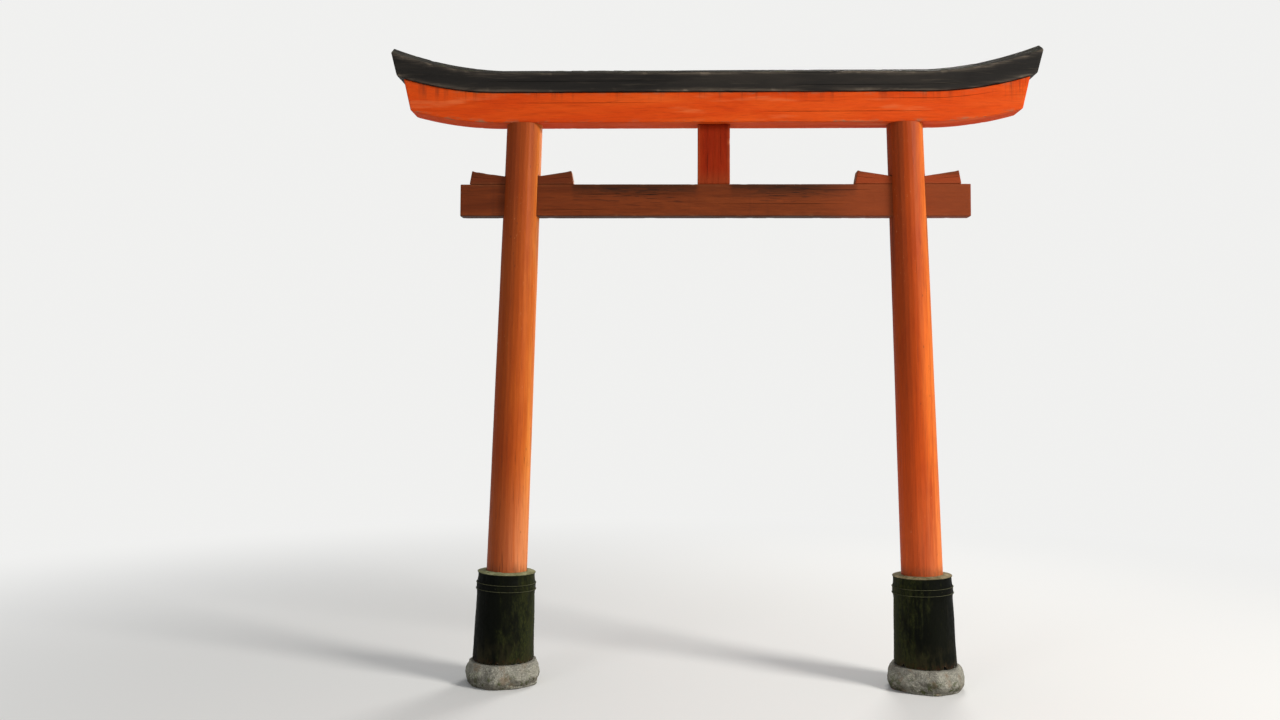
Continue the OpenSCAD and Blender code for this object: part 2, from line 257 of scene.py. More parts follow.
def brownTimberRecipe(b):
    # old brown stain on the tie beam and wedges: grain along X, mould along the top, dark end grain
    top = beamHigh.z
    broad = b.noise((1.6, 9, 14), 4, 0.6, 0.6)
    grain = b.noise((5, 60, 85), 4, 0.65, 0.3)
    fibre = b.noise((16, 300, 330), 3, 0.6)
    b.base(broad, (0.30, 100, 42, 14), (0.47, 113, 49, 17), (0.60, 121, 54, 20), (0.76, 131, 59, 24))
    b.coat(b.fade(grain, 0.50, 0.74, 0.42), (78, 33, 13))
    b.coat(b.blotches((3, 30, 24), 0.57, 0.77, 0.4), (145, 66, 27))
    b.coat(b.blotches((22, 22, 1.6), 0.56, 0.80, 0.28), (70, 31, 13))
    onWedge = b.math("GREATER_THAN", b.height, top + 0.0012)
    # rain darkens the beam's upper part, but not under the strut and the wedges
    alongX = b.axis(b.at, "X")
    fromMiddle = b.math("ABSOLUTE", b.minus(alongX, middleX))
    strutHalf, wedgeReach = (strutHigh.x - strutLow.x) / 2, middleX - wedgeHigh.x
    rained = b.times(b.fade(fromMiddle, strutHalf - 0.015, strutHalf + 0.025),
                     b.fade(fromMiddle, wedgeReach + 0.025, wedgeReach - 0.015), b.inverse(onWedge))
    wet = b.fade(rained, 0.0, 1.0, 1.0, 0.12)
    mould = b.blotches((6, 6, 42), 0.45, 0.60, 0.8, 5, 0.7, 0.8)
    topDust = b.fade(broad, 0.30, 0.6, 0.85, 0.45)
    topLine = b.fade(grain, 0.30, 0.62, 0.85, 0.45)
    for stain, low, high, colour in (
            (mould, 0.075, 0.004, (44, 29, 19)), (topDust, 0.09, 0.005, (66, 33, 13)),
            (topLine, 0.030, 0.006, (48, 21, 6))):
        b.coat(b.times(b.fade(b.height, top - low, top - high), stain, wet), colour)
    # short dark checks lie along the grain, mostly in the upper half
    shortChecks = b.times(b.fade(b.height, beamLow.z + 0.03, top - 0.05, 1.0, 0.25),
                          b.fade(broad, 0.44, 0.52), b.blotches((11, 60, 120), 0.60, 0.66, 0.75, 2, 0.5), wet)
    b.coat(shortChecks, (52, 27, 14))
    hairlines = b.times(b.fade(b.height, top - 0.085, top - 0.03), b.fade(broad, 0.46, 0.54),
                        b.blotches((9, 40, 230), 0.54, 0.63, 0.9, 3, 0.6), wet)
    b.coat(hairlines, (34, 19, 11))
    # painted shade: a dark line along the beam's lower edge
    b.coat(b.fade(b.height, beamLow.z + 0.010, beamLow.z + 0.001, 0.8), (48, 23, 12))
    b.coat(b.fade(fibre, 0.46, 0.72, 0.32), (62, 27, 11))
    # the wedges on the left are darker and those on the right redder, and the beam grows lighter and redder
    # towards its right end
    rightHand = b.rightHand()
    b.coat(b.fade(alongX, middleX + 0.45, middleX + 0.75, 0.45), (152, 68, 32))
    b.coat(b.times(onWedge, b.inverse(rightHand), 0.5), (100, 42, 17))
    b.coat(b.times(onWedge, rightHand, 0.6), (150, 58, 22))
    # wet ends have gone dark where the wedges are thickest
    thickEnd = b.times(b.fade(b.height, wedgeHigh.z - 0.034, wedgeHigh.z - 0.008),
                       b.fade(grain, 0.36, 0.6, 0.8, 0.2), onWedge)
    b.coat(thickEnd, (62, 36, 16))
    b.coat(b.times(b.mark("edge"), b.fade(grain, 0.35, 0.6, 0.25)), (150, 92, 58))
    b.coat(b.mark("endGrain"), growthRings(b))
    b.coat(b.times(b.mark("endGrain"), onWedge, 0.6), (190, 128, 86))
    b.cracks(28, 16, 11)
    return b.fade(grain, 0.30, 0.75, 0.80, 0.52), b.blend((grain, 0.7), (fibre, 0.35))


def growthRings(b):
    # rings on a cut end, round a line that runs along X below the beam's middle
    fromHeart = b.vector("SUBTRACT", b.at, (0.0, 0.013, beamLow.z - 0.03))
    reach = b.vector("LENGTH", b.vector("MULTIPLY", fromHeart, (0, 1, 1)), out="Value")
    wobble = b.times(b.noise((4, 26, 26)), 0.010)
    rings = b.math("SINE", b.times(b.total(reach, wobble), 1500.0))
    return b.mix(b.fade(rings, -0.6, 0.9), rgb(96, 54, 32), rgb(52, 29, 18))


def redTimberRecipe(b):
    # red-brown stain on the strut, grain upwards, paler at its foot
    broad = b.noise((9, 9, 1.8), 4, 0.6, 0.5)
    grain = b.noise((90, 90, 5), 4, 0.6)
    fibre = b.noise((330, 330, 14), 3, 0.6)
    b.base(broad, (0.32, 120, 26, 3), (0.50, 138, 34, 4), (0.70, 150, 44, 9))
    b.coat(b.fade(b.height, beamHigh.z + 0.09, beamHigh.z, 0.7), (140, 58, 26))
    b.coat(b.fade(grain, 0.50, 0.74, 0.5), (92, 24, 5))
    b.coat(b.fade(fibre, 0.46, 0.72, 0.3), (84, 22, 5))
    b.coat(b.times(b.mark("edge"), b.fade(grain, 0.35, 0.6, 0.5)), (184, 96, 56))
    b.cracks(34, 14, 8)
    return b.fade(grain, 0.3, 0.75, 0.88, 0.66), b.blend((grain, 0.5), (fibre, 0.35))


def lintelPaintRecipe(b):
    # vermilion on the lower lintel, brighter than the posts because the top lintel shelters it
    broad = b.noise((1.2, 6, 7), 4, 0.6, 0.5)
    grain = b.noise((4, 70, 80), 4, 0.62, 0.2)
    fibre = b.noise((14, 320, 320), 3, 0.6)
    b.base(broad, (0.28, 190, 56, 8), (0.48, 209, 69, 11), (0.62, 217, 80, 18), (0.80, 222, 98, 38))
    b.coat(b.fade(grain, 0.52, 0.74, 0.40), (158, 50, 16))
    b.coat(b.fade(fibre, 0.44, 0.72, 0.28), (140, 42, 8))
    b.coat(b.blotches((3, 22, 22), 0.56, 0.76, 0.45), (228, 122, 70))
    drips = b.times(b.blotches((24, 24, 1.4), 0.50, 0.70, 1.0, 4, 0.65),
                    b.fade(b.height, lintelHigh.z - 0.14, lintelHigh.z - 0.05, 0.65))
    b.coat(drips, (110, 46, 24))
    b.coat(b.times(b.mark("edge"), b.blotches((12, 40, 40), 0.5, 0.62, 0.8, 4, 0.7)), (150, 104, 74))
    b.coat(b.mark("endGrain"), (196, 84, 38))
    b.cracks(44, 20, 10)
    return b.fade(grain, 0.30, 0.75, 0.88, 0.62), b.blend((grain, 0.55), (fibre, 0.30))


def blackTimberRecipe(b):
    # black stain on the top lintel, worn grey along the ridge and eaves, dust and moss on top
    broad = b.noise((1.4, 8, 8), 4, 0.6, 0.5)
    grain = b.noise((4, 75, 75), 4, 0.65, 0.3)
    fibre = b.noise((14, 320, 320), 3, 0.6)
    up = b.facing("Z")
    b.base(broad, (0.30, 23, 21, 19), (0.52, 34, 31, 28), (0.75, 48, 43, 38))
    b.coat(b.fade(grain, 0.52, 0.76, 0.5), (74, 68, 60))
    dust = b.times(b.fade(up, 0.45, 0.9), b.blotches((3, 30, 30), 0.38, 0.66, 0.6, 5, 0.7, 0.3))
    b.coat(dust, (88, 84, 73))
    moss = b.times(b.fade(up, 0.3, 0.8), b.blotches((11, 24, 24), 0.56, 0.66, 0.7, 5, 0.7, 0.5))
    b.coat(moss, (72, 80, 40))
    b.coat(b.times(b.mark("edge"), b.fade(grain, 0.38, 0.60, 0.55)), (120, 108, 94))
    b.cracks(10, 9, 8)
    return b.fade(grain, 0.3, 0.75, 0.86, 0.58), b.blend((grain, 0.8), (fibre, 0.3), (moss, 1.0))


def sheetRecipe(b):
    # black paint on thin sheet: green-black, moss in runs, dust, rust where the foot is torn
    broad = b.noise((8, 8, 2.4), 4, 0.6, 0.6)
    runs = b.noise((46, 46, 2.6), 4, 0.62)
    fine = b.noise((150, 150, 60), 4, 0.6)
    b.base(broad, (0.30, 4, 6, 3), (0.50, 7, 9, 4), (0.74, 13, 15, 7))
    # moss grows where the sheet faces the way through
    side = b.times(b.facing("X"), b.rightHand(-1.0, 1.0))
    growth = b.blend((runs, 0.3), (b.noise((14, 14, 7), 4, 0.6), 0.4), (b.noise((60, 60, 26), 5, 0.7), 0.3))
    moss = b.fade(b.total(growth, b.fade(side, -0.7, 1.0, 0.21)), 0.57, 0.78, 0.85)
    b.coat(moss, b.mix(b.fade(fine, 0.4, 0.6), rgb(31, 36, 16), rgb(52, 55, 25)))
    b.coat(b.times(b.blotches((70, 70, 3), 0.58, 0.80, 0.11), b.fade(b.height, 0.12, 0.5)), (84, 84, 66))
    lowDirt = b.times(b.fade(b.height, 0.27, 0.115), b.blotches((20, 20, 9), 0.38, 0.62, 0.6, 4, 0.65))
    b.coat(lowDirt, (50, 46, 28))
    b.coat(b.times(b.mark("torn"), b.blotches((70, 70, 40), 0.46, 0.66, 0.6, 4, 0.65)), (62, 36, 20))
    # dust lies on whatever faces up, such as the tops of the beads
    b.coat(b.times(b.fade(b.facing("Z"), 0.35, 0.85), b.fade(fine, 0.30, 0.55, 0.75, 0.35)), (112, 112, 84))
    b.coat(b.times(b.mark("edge"), b.fade(fine, 0.45, 0.62, 0.55)), (116, 112, 96))
    roughness = b.fade(b.blend((runs, 0.5), (fine, 0.5)), 0.32, 0.68, 0.80, 0.46)
    return roughness, b.blend((fine, 0.35), (runs, 0.4), (moss, 0.6))


def dustySheetRecipe(b):
    # the cap rings: the same sheet under years of pale dust, darker at the rim
    broad = b.noise((22, 22, 22), 5, 0.65, 0.5)
    fine = b.noise((210, 210, 210), 4, 0.65)
    b.base(broad, (0.32, 130, 128, 102), (0.50, 170, 168, 142), (0.70, 204, 202, 180))
    b.coat(b.fade(fine, 0.52, 0.66, 0.6), (70, 66, 46))
    b.coat(b.fade(b.mark("edge"), 0.3, 0.9, 0.85), (40, 42, 30))
    b.coat(b.blotches((40, 40, 40), 0.57, 0.66, 0.6, 4, 0.6), (92, 98, 60))
    # the left ring has gone greener and the right one browner
    b.coat(1.0, b.mix(b.rightHand(), rgb(208, 214, 190), rgb(204, 193, 174)), "MULTIPLY")
    return b.fade(fine, 0.3, 0.7, 0.95, 0.75), b.blend((fine, 0.7), (broad, 0.6))


def stoneRecipe(b):
    # rough granite: pale and dark grains, stains, moss low down and lichen above
    broad = b.noise((9, 9, 9), 5, 0.62, 0.4)
    grain = b.axis(b.cells((330, 330, 330), "Color"), "X")
    fine = b.noise((160, 160, 160), 5, 0.7)
    b.base(broad, (0.30, 112, 109, 99), (0.50, 138, 136, 125), (0.72, 160, 157, 144))
    b.coat(b.fade(grain, 0.72, 0.88, 0.55), (76, 73, 68))
    b.coat(b.fade(grain, 0.24, 0.10, 0.45), (196, 191, 178))
    b.coat(b.blotches((15, 15, 15), 0.54, 0.68, 0.55, 4, 0.6), (126, 104, 78))
    moss = b.times(b.blotches((24, 24, 24), 0.50, 0.60, 0.9, 6, 0.72, 0.6), b.fade(b.height, 0.105, 0.02))
    b.coat(moss, (70, 78, 36))
    b.coat(b.blotches((34, 34, 34), 0.60, 0.66, 0.7, 5, 0.7), (178, 178, 158))
    # painted shade: faces that look down are darker
    b.coat(b.fade(b.facing("Z"), 0.1, -0.4, 0.5), (62, 56, 44))
    return b.fade(fine, 0.3, 0.7, 0.95, 0.78), b.blend((fine, 0.7), (grain, 0.25), (moss, 1.0))


# name, recipe, depth of the relief in metres, gloss
postPaint = finish("worn_post_vermilion", postPaintRecipe, 0.0009, 0.15)
brownTimber = finish("old_brown_stain", brownTimberRecipe, 0.0012, 0.12)
redTimber = finish("red_brown_stain", redTimberRecipe, 0.0009, 0.08)
lintelPaint = finish("sheltered_vermilion", lintelPaintRecipe, 0.0009, 0.1)
blackTimber = finish("weathered_black_stain", blackTimberRecipe, 0.0016, 0.15)
blackSheet = finish("mossy_black_sheet", sheetRecipe, 0.0012, 0.06)
dustySheet = finish("dusty_sheet", dustySheetRecipe, 0.0016, 0.1)
granite = finish("rough_granite", stoneRecipe, 0.0022, 0.2)
print("finishes made")


def bumps(points, size, seed=0.0, detail=1):
    # smooth noise at each point, about -0.5 to 0.5; size is the length of a wave along each axis,
    # and each seed reads another stretch of the noise
    spread = (np.asarray(points, float).reshape(-1, 3) / size + seed * 7.31).tolist()
    if detail == 1:
        values = [noise.noise(p) for p in spread]
    else:
        values = [noise.fractal(p, 1.0, 2.0, detail) for p in spread]
    return np.array(values).reshape(np.shape(points)[:-1])


def fadeIn(value, start, end):
    share = np.clip((value - start) / (end - start), 0, 1)
    return share * share * (3 - 2 * share)


def spotsAt(x, y, z):
    return np.stack(np.broadcast_arrays(x, y, z), -1)


def cleaned(mesh, look, sharpest=gate["sharpAngle"], weld=1e-6):
    work = bmesh.new()
    work.from_mesh(mesh)
    bmesh.ops.remove_doubles(work, verts=work.verts, dist=weld)
    bmesh.ops.recalc_face_normals(work, faces=work.faces)
    work.to_mesh(mesh)
    work.free()
    mesh.shade_smooth()
    mesh.set_sharp_from_angle(angle=math.radians(sharpest))
    mesh.materials.clear()
    mesh.materials.append(look)


def inScene(name, data):
    made = bpy.data.objects.new(name, data)
    scene.collection.objects.link(made)
    return made


def settled(piece):
    # swaps a piece's modifiers for the plain mesh that they give
    graph = bpy.context.evaluated_depsgraph_get()
    mesh = bpy.data.meshes.new_from_object(piece.evaluated_get(graph))
    piece.modifiers.clear()
    piece.data = mesh
    return mesh


def surface(name, rows, look, closed=False, marks=None):
    # a skin over rows of points; each row is a ring, and the rows end in two points or join up
    rowCount, ringCount = rows.shape[:2]
    index = np.arange(rowCount * ringCount).reshape(rowCount, ringCount)
    here = index if closed else index[:-1]
    beyond = np.roll(index, -1, 0) if closed else index[1:]
    quads = np.stack([here, np.roll(here, -1, 1), np.roll(beyond, -1, 1), beyond], -1).reshape(-1, 4)
    mesh = bpy.data.meshes.new(name)
    mesh.from_pydata(rows.reshape(-1, 3).tolist(), [], quads.tolist())
    for mark, values in (marks or {}).items():
        spread = np.broadcast_to(values, (rowCount, ringCount)).astype(np.float32).ravel()
        mesh.attributes.new(mark, "FLOAT", "POINT").data.foreach_set("value", spread)
    cleaned(mesh, look)
    return inScene(name, mesh)


def addToGate(piece, slotName, *nodes):
    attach(piece, "root")
    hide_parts(*nodes)
    triangles = sum(len(face.vertices) - 2 for face in piece.data.polygons)
    print("  ", piece.name, triangles, "triangles")


def blockPiece(low, high):
    low, high = Vector(low), Vector(high)
    mesh = bpy.data.meshes.new("block")
    work = bmesh.new()
    bmesh.ops.create_cube(work, size=1.0, matrix=Matrix.LocRotScale((low + high) / 2, None, high - low))
    work.to_mesh(mesh)
    work.free()
    return inScene("block", mesh)


def carve(piece, how, blocks):
    # cuts blocks out of a piece, or joins them to it; a block is (lowest corner, highest corner)
    for low, high in blocks:
        block = blockPiece(low, high)
        modifier = piece.modifiers.new("carve", "BOOLEAN")
        modifier.operation, modifier.solver, modifier.object = how, "MANIFOLD", block
        mesh = settled(piece)
        bpy.data.objects.remove(block)
    work = bmesh.new()
    work.from_mesh(mesh)
    bmesh.ops.triangulate(work, faces=[face for face in work.faces if len(face.verts) > 4])
    bmesh.ops.dissolve_degenerate(work, dist=gate["shortestEdge"], edges=work.edges)
    work.to_mesh(mesh)
    work.free()
    mesh.name = piece.name
    mesh.shade_smooth()
    mesh.set_sharp_from_angle(angle=math.radians(gate["sharpAngle"]))


def upright(x, wide, thick, low, high, grow=0.0):
    # the block of an upright tenon, or of its mortise when it is grown
    return ((x - wide / 2 - grow, -thick / 2 - grow, low), (x + wide / 2 + grow, thick / 2 + grow, high))


def section(corners, radius, step, cracks):
    # points round a bar: rounded corners, straight runs, and close columns beside each crack
    corners = [Vector(c) for c in corners]
    count = len(corners)
    ways = [(corners[(i + 1) % count] - corners[i]).normalized() for i in range(count)]
    turns = [ways[i - 1].angle(ways[i]) for i in range(count)]
    points, outward, atCorner, crackOf, sideOf = [], [], [], [], []
    noCrack = (-1, 9)    # stands for a crack's number and a side of it

    def put(*entry):
        for whole, value in zip((points, outward, atCorner, crackOf, sideOf), entry):
            whole.append(value)

    for i in range(count):
        start = corners[i] - ways[i - 1] * radius * math.tan(turns[i] / 2)
        normal = Vector((ways[i - 1].y, -ways[i - 1].x))
        centre = start - normal * radius
        for k in range(5):
            turned = Matrix.Rotation(turns[i] * k / 4, 2) @ normal
            put(centre + turned * radius, turned, 1.0, *noCrack)
        runStart = centre + turned * radius
        runEnd = corners[(i + 1) % count] - ways[i] * radius * math.tan(turns[(i + 1) % count] / 2)
        length = (runEnd - runStart).length
        mine = [(n, share * length, half)
                for n, (edge, share, low, high, half, depth) in enumerate(cracks) if edge == i]
        evenly = np.linspace(0, 1, max(2, round(length / step)) + 1)[1:-1]
        spots = [(along * length, *noCrack) for along in evenly]
        spots = [s for s in spots if all(abs(s[0] - middle) > 5 * half for n, middle, half in mine)]
        spots += [(middle + k * half, n, k) for n, middle, half in mine for k in (-4, -1, 0, 1, 4)]
        for along, crack, side in sorted(spots):
            nearest = min(along, length - along)
            worn = max(0.0, 1 - nearest / gate["wearReach"])
            put(runStart + ways[i] * along, turned, worn, crack, side)
    return (np.array([tuple(p) for p in points]), np.array([tuple(n) for n in outward]),
            np.array(atCorner), np.array(crackOf), np.array(sideOf))


def bar(name, look, values, place):
    # a timber of one cross-section, worn and cracked along its grain, with cut ends; a crack is the
    # section's side, the share across it, start, end, half its width and its depth
    cracks = values["cracks"]
    points, outward, atCorner, crackOf, sideOf = section(
        values["corners"], values["radius"], values["step"], cracks)
    low, high = values["ends"]
    arris, seed = values["radius"], values["seed"]
    steps = max(4, round((high - low) / values["pitch"]))
    capRings = (0.0, 0.12, 0.25, 0.4, 0.55, 0.7, 0.82, 0.92, 1.0)
    roundings = np.radians((60, 30))
    startRows = [(low, arris, k, -1) for k in capRings] + [
        (low + arris * (1 - math.sin(t)), arris * (1 - math.cos(t)), 1.0, 0) for t in roundings]
    bodyRows = [(s, 0.0, 1.0, 0) for s in np.linspace(low + arris, high - arris, steps)]
    endRows = [(low + high - s, inset, k, -cap) for s, inset, k, cap in reversed(startRows)]
    along, inset, shrink, cap = (np.array(v)[:, None] for v in zip(*startRows, *bodyRows, *endRows))
    middle = points.mean(0)
    undented = place(along, np.broadcast_to(points, (len(along),) + points.shape))
    grain = values["grain"]
    dent = values["wave"] * (0.5 + bumps(undented, grain, seed))
    dent = dent + values["wave"] * 0.35 * (0.5 + bumps(undented, np.array(grain) * 0.22, seed + 3))
    chips = np.clip(bumps(undented, 0.05, seed + 5, 3) * 2.4 - 0.62, 0, 1)
    rubbed = 0.5 + bumps(undented, 0.30, seed + 6)
    dent = dent + values["wear"] * atCorner * (0.3 * rubbed + chips)
    opening = np.zeros_like(dent)
    for n, (edge, share, crackLow, crackHigh, half, depth) in enumerate(cracks):
        taper = 0.35 * (crackHigh - crackLow)
        shape = fadeIn(along, crackLow, crackLow + taper) * fadeIn(along, crackHigh, crackHigh - taper)
        shape = shape * (0.75 + 0.5 * bumps(spotsAt(along * 14, n, 0), 1.0, seed))
        dent = dent + (crackOf == n) * (sideOf == 0) * shape * depth
        opening = opening + (crackOf == n) * (np.abs(sideOf) <= 1) * shape * np.where(sideOf == 0, 1.0, 0.35)
    # all rings of a cut end take the dents of that end
    endDent = dent[[0 if c < 0 else -1 for c in cap[:, 0]]]
    local = points - outward * (inset + np.where(shrink < 1, endDent, dent))[..., None]
    local = middle + (local - middle) * shrink[..., None]
    # short drying checks run out from the middle of each cut end
    picks = random.Random(seed)
    check, checkDepth, sawDepth = np.zeros(len(points)), 0.005, 0.0006
    for column in picks.sample(range(len(points)), values["checks"]):
        check[column] = picks.uniform(0.3, 1.0)
    sawn = sawDepth * (0.5 + bumps(undented, 0.012, seed + 8)) * (shrink < 0.99) * (shrink > 0)
    hollow = (cap != 0) * (fadeIn(shrink, 0.05, 0.3) * fadeIn(shrink, 1.0, 0.8) * check * checkDepth + sawn)
    rows = place(along - cap * hollow, local)
    endCrack = 1.6 * hollow / checkDepth * (hollow > 2 * sawDepth)
    marks = {"edge": atCorner * (0.3 + 0.5 * rubbed + chips) * (shrink > 0.99),
             "crack": np.maximum(opening, endCrack), "endGrain": (cap != 0) * 1.0}
    return surface(name, rows, look, marks=marks)


def boxCorners(wide, high, low=0.0):
    return [(-wide / 2, low), (wide / 2, low), (wide / 2, high), (-wide / 2, high)]


# The two posts are one rule: a planed log that tapers, leans, waves a little and dries in cracks
logInputs = {
    "Around": 208, "Along": 236, "Foot Diameter": gate["footWide"], "Top Diameter": gate["topWide"],
    "Foot Level": footLevel, "Top Level": lintelLow.z, "Foot X": 0.0, "Lean": math.tan(gate["lean"]),
    "Twist": 0.10, "Waviness": 0.0022, "Facets": 26, "Facet Depth": 0.0007, "Crack Share": 0.09,
    "Crack Depth": 0.0045, "Crack Half Width": 0.0005, "Faded And Lit Side": 0.0, "Seed": 4, "Finish": postPaint,
}


def newTree(name, inputs):
    # a Geometry Nodes tree with these inputs; gives its bench, its inputs by name, and its output socket
    tree = bpy.data.node_groups.new(name, "GeometryNodeTree")
    tree.interface.new_socket("Geometry", in_out="INPUT", socket_type="NodeSocketGeometry")
    tree.interface.new_socket("Geometry", in_out="OUTPUT", socket_type="NodeSocketGeometry")
    kinds = {int: "NodeSocketInt", float: "NodeSocketFloat", bpy.types.Material: "NodeSocketMaterial"}
    for label, value in inputs.items():
        tree.interface.new_socket(label, in_out="INPUT", socket_type=kinds[type(value)])
    given = tree.nodes.new("NodeGroupInput").outputs
    return Bench(tree), given, tree.nodes.new("NodeGroupOutput").inputs[0]


def endTree(b, shape, given, result):
    shape = b.add("GeometryNodeRealizeInstances", {"Geometry": shape})
    shape = b.add("GeometryNodeSetMaterial", {"Geometry": shape, "Material": given["Finish"]})
    b.tree.links.new(shape, result)
    return b.tree


def grown(name, tree, inputs):
    # runs a tree on an empty object and keeps the plain mesh that it gives
    piece = inScene(name, bpy.data.meshes.new(name))
    modifier = piece.modifiers.new("shape", "NODES")
    modifier.node_group = tree
    for item in tree.interface.items_tree:
        if item.in_out == "INPUT" and item.name in inputs:
            modifier[item.identifier] = inputs[item.name]
    bpy.context.view_layer.update()
    settled(piece).name = name
    return piece


def logTree():
    b, given, result = newTree("planed log", logInputs)
    grid = b.add("GeometryNodeMeshGrid", {"Size X": 1.0, "Size Y": 1.0,
                 "Vertices X": b.total(given["Around"], 1.0), "Vertices Y": given["Along"]})
    place = b.add("GeometryNodeInputPosition")
    column = b.math("ROUND", b.times(b.total(b.axis(place, "X"), 0.5), given["Around"]))
    row = b.total(b.axis(place, "Y"), 0.5)
    # the first and last rows close the log, and the rows between them climb it
    lastRow = b.minus(given["Along"], 1.0)
    climb = b.over(b.minus(b.times(row, lastRow), 1.0), b.minus(lastRow, 2.0))
    climb = b.add("ShaderNodeClamp", {"Value": climb})
    fromEnd = b.times(b.minus(0.5, b.math("ABSOLUTE", b.minus(row, 0.5))), lastRow)
    climbing = b.math("GREATER_THAN", fromEnd, 0.5)
    up = b.times(climb, b.minus(given["Top Level"], given["Foot Level"]))
    level = b.total(given["Foot Level"], up)

    def crackAt(shift):
        # how far the crack of a column stands open at this level, 0 where the column has none
        which = b.math("FLOORED_MODULO", b.total(column, shift), given["Around"])
        drawn = b.add("FunctionNodeRandomValue", {"ID": which, "Seed": given["Seed"]}, "Value",
                      data_type="FLOAT")
        # only every fourth column may crack, so that no two cracks touch
        has = b.times(b.math("LESS_THAN", drawn, given["Crack Share"]),
                      b.math("COMPARE", b.math("FLOORED_MODULO", which, 4.0), 0.0, 0.5))
        spot = b.joined(b.times(which, 3.17), b.times(level, 2.4), b.times(drawn, 900.0))
        wave = b.add("ShaderNodeTexNoise", {"Vector": spot, "Scale": 1.0, "Detail": 1.0})
        return b.times(has, b.fade(wave, 0.55, 0.68))

    own, before, after = crackAt(0.0), crackAt(-1.0), crackAt(1.0)
    girth = b.add("ShaderNodeMix", {0: climb, 2: given["Foot Diameter"], 3: given["Top Diameter"]})
    radius = b.times(girth, 0.5)
    pitch = b.over(math.tau, given["Around"])
    pinch = b.minus(pitch, b.over(given["Crack Half Width"], radius))
    turn = b.total(b.times(column, pitch), b.times(given["Twist"], climb),
                   b.times(b.minus(after, before), pinch))
    sine, cosine = b.math("SINE", turn), b.math("COSINE", turn)
    spot = b.joined(b.total(sine, b.times(given["Seed"], 3.7)), cosine, b.times(level, 1.4))
    wave = b.noise((1.3, 1.3, 1.3), 2, 0.5, at=spot)
    ripple = b.noise((6.0, 6.0, 2.2), 2, 0.5, at=spot)
    # shallow flats from the plane run up the log
    facet = b.total(b.over(b.times(turn, given["Facets"]), math.tau), b.times(ripple, 0.5))
    strip = b.minus(b.math("FRACT", facet), 0.5)
    flat = b.times(given["Facet Depth"], b.inverse(b.times(4.0, strip, strip)))
    inward = b.total(b.times(given["Waviness"], b.total(wave, b.times(ripple, 0.25))), flat,
                     b.times(own, given["Crack Depth"]))
    reach = b.times(b.minus(radius, inward), climbing)
    x = b.total(b.times(sine, reach), b.times(given["Lean"], up), given["Foot X"])
    # 1 on the side where the paint is most faded and carries painted highlight, -1 on the side that carries
    # painted shade
    fadedAndLit = b.math("COSINE", b.minus(turn, given["Faded And Lit Side"]))
    dripUnder = b.times(b.fade(level, beamLow.z - 0.55, beamLow.z),
                        b.fade(level, beamLow.z + 0.004, beamLow.z),
                        b.fade(b.math("ABSOLUTE", sine), 0.75, 0.97))
    # the marks are stored first, because they are worked out from the flat grid's places
    shape = grid
    for label, value in {"crack": own, "fadedAndLit": fadedAndLit, "drip": dripUnder}.items():
        shape = b.add("GeometryNodeStoreNamedAttribute", {"Geometry": shape, "Name": label, "Value": value},
                      data_type="FLOAT", domain="POINT")
    spot = b.joined(x, b.times(cosine, reach, -1.0), level)
    shape = b.add("GeometryNodeSetPosition", {"Geometry": shape, "Position": spot})
    shape = b.add("GeometryNodeMergeByDistance", {"Geometry": shape, "Distance": gate["shortestEdge"]})
    return endTree(b, shape, given, result)


posts = {
    "left": {"Foot X": 0.0, "Lean": math.tan(gate["lean"]), "Faded And Lit Side": math.radians(110), "Seed": 4},
    "right": {"Foot X": gate["postSpacing"], "Lean": -math.tan(gate["lean"]), "Faded And Lit Side": math.radians(82),
              "Twist": -0.08, "Seed": 11},
}
logShape = logTree()
for side, own in posts.items():
    piece = grown(side + "_post_log", logShape, {**logInputs, **own})
    cleaned(piece.data, postPaint)
    topX = own["Foot X"] + own["Lean"] * (lintelLow.z - footLevel)
    wide, thick, tall = gate["postTenon"]
    carve(piece, "UNION", [upright(topX, wide, thick, lintelLow.z - gate["past"], lintelLow.z + tall)])
    slotHigh = wedgeHigh.z - gate["slotFall"]
    beamThick = beamHigh.y - beamLow.y
    carve(piece, "DIFFERENCE", [
        upright(own["Foot X"], gate["slotCut"], beamThick, beamLow.z, slotHigh, gate["slotClear"])])
    addToGate(piece, "post_paint", side + "_post")
print("posts made")


# Tie beam
tieBeam = {
    "corners": boxCorners(beamHigh.y - beamLow.y, beamHigh.z - beamLow.z),
    "ends": (beamLow.x, beamHigh.x), "radius": 0.004, "step": 0.007, "pitch": 0.009,
    "wave": 0.0005, "wear": 0.0012, "grain": (0.9, 0.05, 0.05), "seed": 21, "checks": 9,
    "cracks": [(3, 0.30, 0.28, 0.95, 0.0009, 0.006), (3, 0.62, 0.95, 1.75, 0.0008, 0.005),
               (3, 0.16, 1.35, 1.85, 0.0007, 0.004), (3, 0.80, 0.15, 0.55, 0.0006, 0.003),
               (1, 0.42, 0.5, 1.5, 0.0009, 0.006), (1, 0.70, 1.2, 1.9, 0.0007, 0.004),
               (2, 0.5, 0.2, 0.8, 0.0008, 0.004), (0, 0.45, 0.9, 1.7, 0.0008, 0.004)],
}
piece = bar("tie_beam_timber", brownTimber, tieBeam, lambda s, p: spotsAt(
    s, p[..., 0], beamLow.z + p[..., 1]))
tenonWide, tenonThick, tenonTall = gate["strutTenon"]
mortiseFoot = beamHigh.z - tenonTall - gate["endClear"]
carve(piece, "DIFFERENCE", [
    upright(middleX, tenonWide, tenonThick, mortiseFoot, beamHigh.z + gate["past"], gate["sideClear"])])
addToGate(piece, "brown_timber", "tie_beam")


# Wedges: each lies on the beam, tail in the post and a slanted free end
wedgeShape = {
    "tailHigh": 0.028, "toe": 0.012, "toeRun": 0.035, "crackPast": (0.03, 0.02), "radius": 0.004,
    "step": 0.006, "pitch": 0.007, "wave": 0.0008, "wear": 0.0018, "grain": (0.3, 0.04, 0.04), "checks": 5,
}


